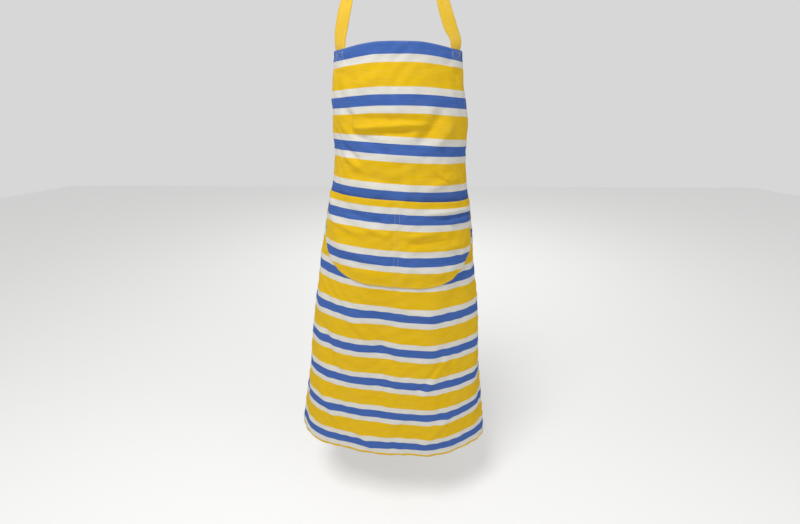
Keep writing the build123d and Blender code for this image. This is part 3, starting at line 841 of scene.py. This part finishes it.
knot = grid_piece("bow_knot_tape", knot_points, flat, closed=True)
shape = bmesh.new()
shape.from_mesh(knot.data)
shape.verts.ensure_lookup_table()
columns = len(around)
shape.faces.new([shape.verts[i] for i in range(columns)])
shape.faces.new([shape.verts[len(shape.verts) - columns + i] for i in range(columns)])
bmesh.ops.recalc_face_normals(shape, faces=shape.faces)
shape.to_mesh(knot.data)
shape.free()
knot.data.materials.append(TAPE_CLOTH)
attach(knot, "tie_left")
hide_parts("bow_knot")

# Tails: the two ends of the tape are gathered under the knot, splay a little and hang free, close to
# where the wearer's back is.


def back_of_form(x, drop, out):
    """How far back the form's own back lies at a place across and down."""
    wide, deep = (form_size(table, np.array([drop]))[0] for table in (FORM_WIDE, FORM_DEEP))
    return FORM_Y + deep * math.sqrt(max(0.0, 1 - (x / wide) ** 2)) + out


tail_ends = {}
for name, side in SIDES:
    rows = []
    for s in np.linspace(0.0, TAIL_LONG, 24):
        half = TAPE_W / 2 * (0.40 + 0.60 * float(smooth(s, 0.0, 0.075)))
        x = KNOT_HALF / 2 + s * TAIL_SPLAY
        drop = TIE_DROP + KNOT_HIGH / 2 + s
        wave = 0.0018 * math.sin(s * 31 + side) * float(smooth(s, 0.02, 0.1))
        inner = (side * (x - half), back_of_form(x - half, drop, TAIL_OUT) + wave, BIB_TOP_Z - drop)
        outer = (side * (x + half), back_of_form(x + half, drop, TAIL_OUT) - wave, BIB_TOP_Z - drop)
        rows.append(np.concatenate([inner, outer] if side > 0 else [outer, inner]))
    tail_ends[name] = np.array(rows[-3:])
    tail, tail_length = tape(f"bow_tail_{name}", rows, pleats=(0.0012, 0.0))
    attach(tail, f"tail_{name}")
    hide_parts(f"tie_tail_{name}")

# Stitching: strong cream thread, in straight rows of stitches 2.6 mm long. It holds every hem, the
# pocket's edge and middle, and a crossed square at each end of tape that is sewn to the cloth.
THREAD_SIZES = {"Pitch": 0.0033, "Stitch length": 0.0026, "Thread thickness": 0.0005}


def thread_material():
    """Cream sewing thread: matt, with a fine twist."""
    n = Nodes("cream_thread")
    place = n.new("ShaderNodeTexCoord").outputs["Object"]
    shade = n.noise(place, 900.0, 2.0)
    colour = n.mix(shade, (0.56, 0.47, 0.28, 1.0), (0.78, 0.70, 0.50, 1.0))
    return n.finish(colour, 0.7, shade, 0.0001)


def stitch_tree():
    """Nodes that lay stitches of thread along the edges of a piece."""
    tree = bpy.data.node_groups.new("rows_of_stitches", "GeometryNodeTree")
    tree.interface.new_socket("Seams", in_out="INPUT", socket_type="NodeSocketGeometry")
    sizes = {}
    kinds = {"Pitch": "Float", "Stitch length": "Float", "Thread thickness": "Float", "Thread": "Material"}
    for label, kind in kinds.items():
        sizes[label] = tree.interface.new_socket(label, in_out="INPUT", socket_type="NodeSocket" + kind)
    tree.interface.new_socket("Stitches", in_out="OUTPUT", socket_type="NodeSocketGeometry")

    def node(kind, **settings):
        made = tree.nodes.new(kind)
        for key, value in settings.items():
            setattr(made, key, value)
        return made

    def link(a, b):
        tree.links.new(a, b)

    given, result = node("NodeGroupInput"), node("NodeGroupOutput")
    curve = node("GeometryNodeMeshToCurve")
    even = node("GeometryNodeResampleCurve", mode="LENGTH")
    tangent = node("GeometryNodeInputTangent")
    turn = node("FunctionNodeAlignRotationToVector", axis="Z")
    one = node("GeometryNodeMeshUVSphere")
    one.inputs["Segments"].default_value = 6
    one.inputs["Rings"].default_value = 4
    one.inputs["Radius"].default_value = 0.5
    scale = node("ShaderNodeCombineXYZ")
    place = node("GeometryNodeInstanceOnPoints")
    real = node("GeometryNodeRealizeInstances")
    coat = node("GeometryNodeSetMaterial")
    link(given.outputs["Seams"], curve.inputs["Mesh"])
    link(curve.outputs["Curve"], even.inputs["Curve"])
    link(given.outputs["Pitch"], even.inputs["Length"])
    link(tangent.outputs[0], turn.inputs["Vector"])
    link(even.outputs["Curve"], place.inputs["Points"])
    link(one.outputs["Mesh"], place.inputs["Instance"])
    link(turn.outputs["Rotation"], place.inputs["Rotation"])
    link(given.outputs["Thread thickness"], scale.inputs["X"])
    link(given.outputs["Thread thickness"], scale.inputs["Y"])
    link(given.outputs["Stitch length"], scale.inputs["Z"])
    link(scale.outputs[0], place.inputs["Scale"])
    link(place.outputs["Instances"], real.inputs["Geometry"])
    link(real.outputs["Geometry"], coat.inputs["Geometry"])
    link(given.outputs["Thread"], coat.inputs["Material"])
    link(coat.outputs["Geometry"], result.inputs["Stitches"])
    return tree, sizes


def cloth_seam(places, lift=None):
    """A row of stitches on the panel, or on the pocket, through places of (across, drop)."""
    line = []
    for a, b in zip(places, places[1:]):
        across, down = b[0] - a[0], b[1] - a[1]
        steps = max(2, int(math.hypot(across, down) / 0.004))
        line += [(a[0] + across * k / steps, a[1] + down * k / steps) for k in range(steps)]
    u, d = np.array(line + [places[-1]]).T
    return wrap(u, d, PLY * 1.5 + lift(u, d) if lift else PLY)


def crossed_square(u0, u1, d0, d1):
    """The corners of a square of stitches and its diagonals, in one unbroken row."""
    return [(u0, d0), (u1, d0), (u1, d1), (u0, d1), (u0, d0), (u1, d1), (u1, d0), (u0, d1)]


EDGE_INSET, HEM_INSET, POCKET_INSET, SEAM_END = 0.0085, 0.003, 0.003, 0.002
seams = {"apron": [], "neck_loop": [], "tail_left": [], "tail_right": []}
for drop, row in ((TOP_HEM, TOP_HEM - HEM_INSET), (LENGTH, LENGTH - BOTTOM_HEM + HEM_INSET)):
    end = half_width([drop])[0] - SEAM_END
    seams["apron"].append(cloth_seam([(-end, row), (end, row)]))
for side in (1, -1):
    for first, last in ((SEAM_END, WAIST_DROP), (WAIST_DROP, LENGTH - SEAM_END)):
        across, drop, into_u, into_d = edge_path(first, last, 60, side)
        line = np.stack([across + into_u * EDGE_INSET, drop + into_d * EDGE_INSET], -1)
        seams["apron"].append(cloth_seam([tuple(p) for p in line]))
    seams["apron"].append(cloth_seam(crossed_square(side * 0.1110, side * 0.1290, 0.004, 0.036)))
    near, far = side * (waist_half - TIE_LAP + 0.002), side * (waist_half - 0.003)
    seams["apron"].append(cloth_seam(crossed_square(near, far, TIE_DROP - 0.011, TIE_DROP + 0.011)))
wide, low = POCKET_HALF - POCKET_INSET, POCKET_LOW - POCKET_INSET
curve = [(wide, POCKET_TOP + 0.001), (wide, POCKET_TURN_DROP)]
for t in np.linspace(0, math.pi / 2, 24)[1:]:
    u = POCKET_FLAT + (wide - POCKET_FLAT) * math.cos(t)
    curve.append((u, POCKET_TURN_DROP + (low - POCKET_TURN_DROP) * math.sin(t)))
curve += [(-u, d) for u, d in reversed(curve)]
mouth_row, mouth_end = POCKET_TOP + POCKET_HEM - 0.002, POCKET_HALF - SEAM_END
pocket_seams = [curve, [(-mouth_end, mouth_row), (mouth_end, mouth_row)]]
pocket_seams += [[(u, POCKET_TOP + 0.001), (u, low)] for u in SEAM_PAIR]
seams["apron"] += [cloth_seam(places, lift=pocket_lift) for places in pocket_seams]


def strap_line(up, out):
    """A row of stitches straight across the strap, near the ring."""
    row = run_row(up, out, 1, 0)
    return np.array([row[:3] * (1 - t) + row[3:] * t for t in np.linspace(0.08, 0.92, 9)])


for up in (0.020, 0.023, 0.057, 0.060, -0.0085, -0.0115):
    seams["neck_loop"].append(strap_line(up, TAPE_T / 2 + 0.0001))
for name, rows in tail_ends.items():
    start, end = rows[0][:3], rows[0][3:]
    line = [start * (1 - t) + end * t + np.array((0, 0.0009, 0)) for t in np.linspace(0.06, 0.94, 9)]
    seams[f"tail_{name}"].append(np.array(line))

THREAD_COAT = thread_material()
tree, sizes = stitch_tree()
for body, lines in seams.items():
    points, edges = [], []
    for line in lines:
        edges += [(len(points) + k, len(points) + k + 1) for k in range(len(line) - 1)]
        points += [tuple(p) for p in line]
    mesh = bpy.data.meshes.new(f"stitches_{body}")
    mesh.from_pydata(points, edges, [])
    stitches = bpy.data.objects.new(f"stitches_{body}", mesh)
    bpy.context.scene.collection.objects.link(stitches)
    sewing = stitches.modifiers.new("sewing", "NODES")
    sewing.node_group = tree
    for label, value in THREAD_SIZES.items():
        sewing[sizes[label].identifier] = value
    sewing[sizes["Thread"].identifier] = THREAD_COAT
    settle(stitches)
    stitches.data.polygons.foreach_set("use_smooth", [True] * len(stitches.data.polygons))
    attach(stitches, body)

# Stage: a pale matt floor under the hem and a pale backdrop, with soft light from above and in
# front, a weak light from the other side and one for the back.
FLOOR_Z, FLOOR_WIDE = -1.40, 12
AMBIENT, BACKDROP = 0.41, 0.68
bpy.ops.mesh.primitive_plane_add(size=FLOOR_WIDE, location=(0, 0, FLOOR_Z))
floor = bpy.context.active_object
floor.name = "floor"
paper = bpy.data.materials.new("paper")
paper.use_nodes = True
coat = paper.node_tree.nodes["Principled BSDF"]
coat.inputs["Base Color"].default_value = (0.84, 0.84, 0.83, 1.0)
coat.inputs["Roughness"].default_value = 0.9
coat.inputs["Emission Color"].default_value = (1.0, 1.0, 1.0, 1.0)
coat.inputs["Emission Strength"].default_value = 0.27
floor.data.materials.append(paper)
floor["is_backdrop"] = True
world = bpy.data.worlds.new("studio")
world.use_nodes = True
sky = world.node_tree
sky.nodes["Background"].inputs["Color"].default_value = (1.0, 1.0, 1.0, 1.0)
seen = sky.nodes.new("ShaderNodeMapRange")
seen.inputs["To Min"].default_value = AMBIENT
seen.inputs["To Max"].default_value = BACKDROP
rays = sky.nodes.new("ShaderNodeLightPath")
sky.links.new(rays.outputs["Is Camera Ray"], seen.inputs["Value"])
sky.links.new(seen.outputs[0], sky.nodes["Background"].inputs["Strength"])
bpy.context.scene.world = world
bpy.context.scene.view_settings.view_transform = "Standard"
for name, place, turn, size, power in (
    ("key", (-0.6, -1.2, 1.3), (31, 0, -30), 0.8, 36.0),
    ("fill", (1.3, -1.2, 0.1), (80, 0, 48), 1.4, 4.0),
    ("back", (0.2, 1.6, 0.9), (-60, 0, 175), 1.4, 20.0),
):
    light = bpy.data.objects.new(name, bpy.data.lights.new(name, "AREA"))
    light.data.size = size
    light.data.energy = power
    light.location = place
    light.rotation_euler = [math.radians(angle) for angle in turn]
    bpy.context.scene.collection.objects.link(light)

low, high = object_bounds()
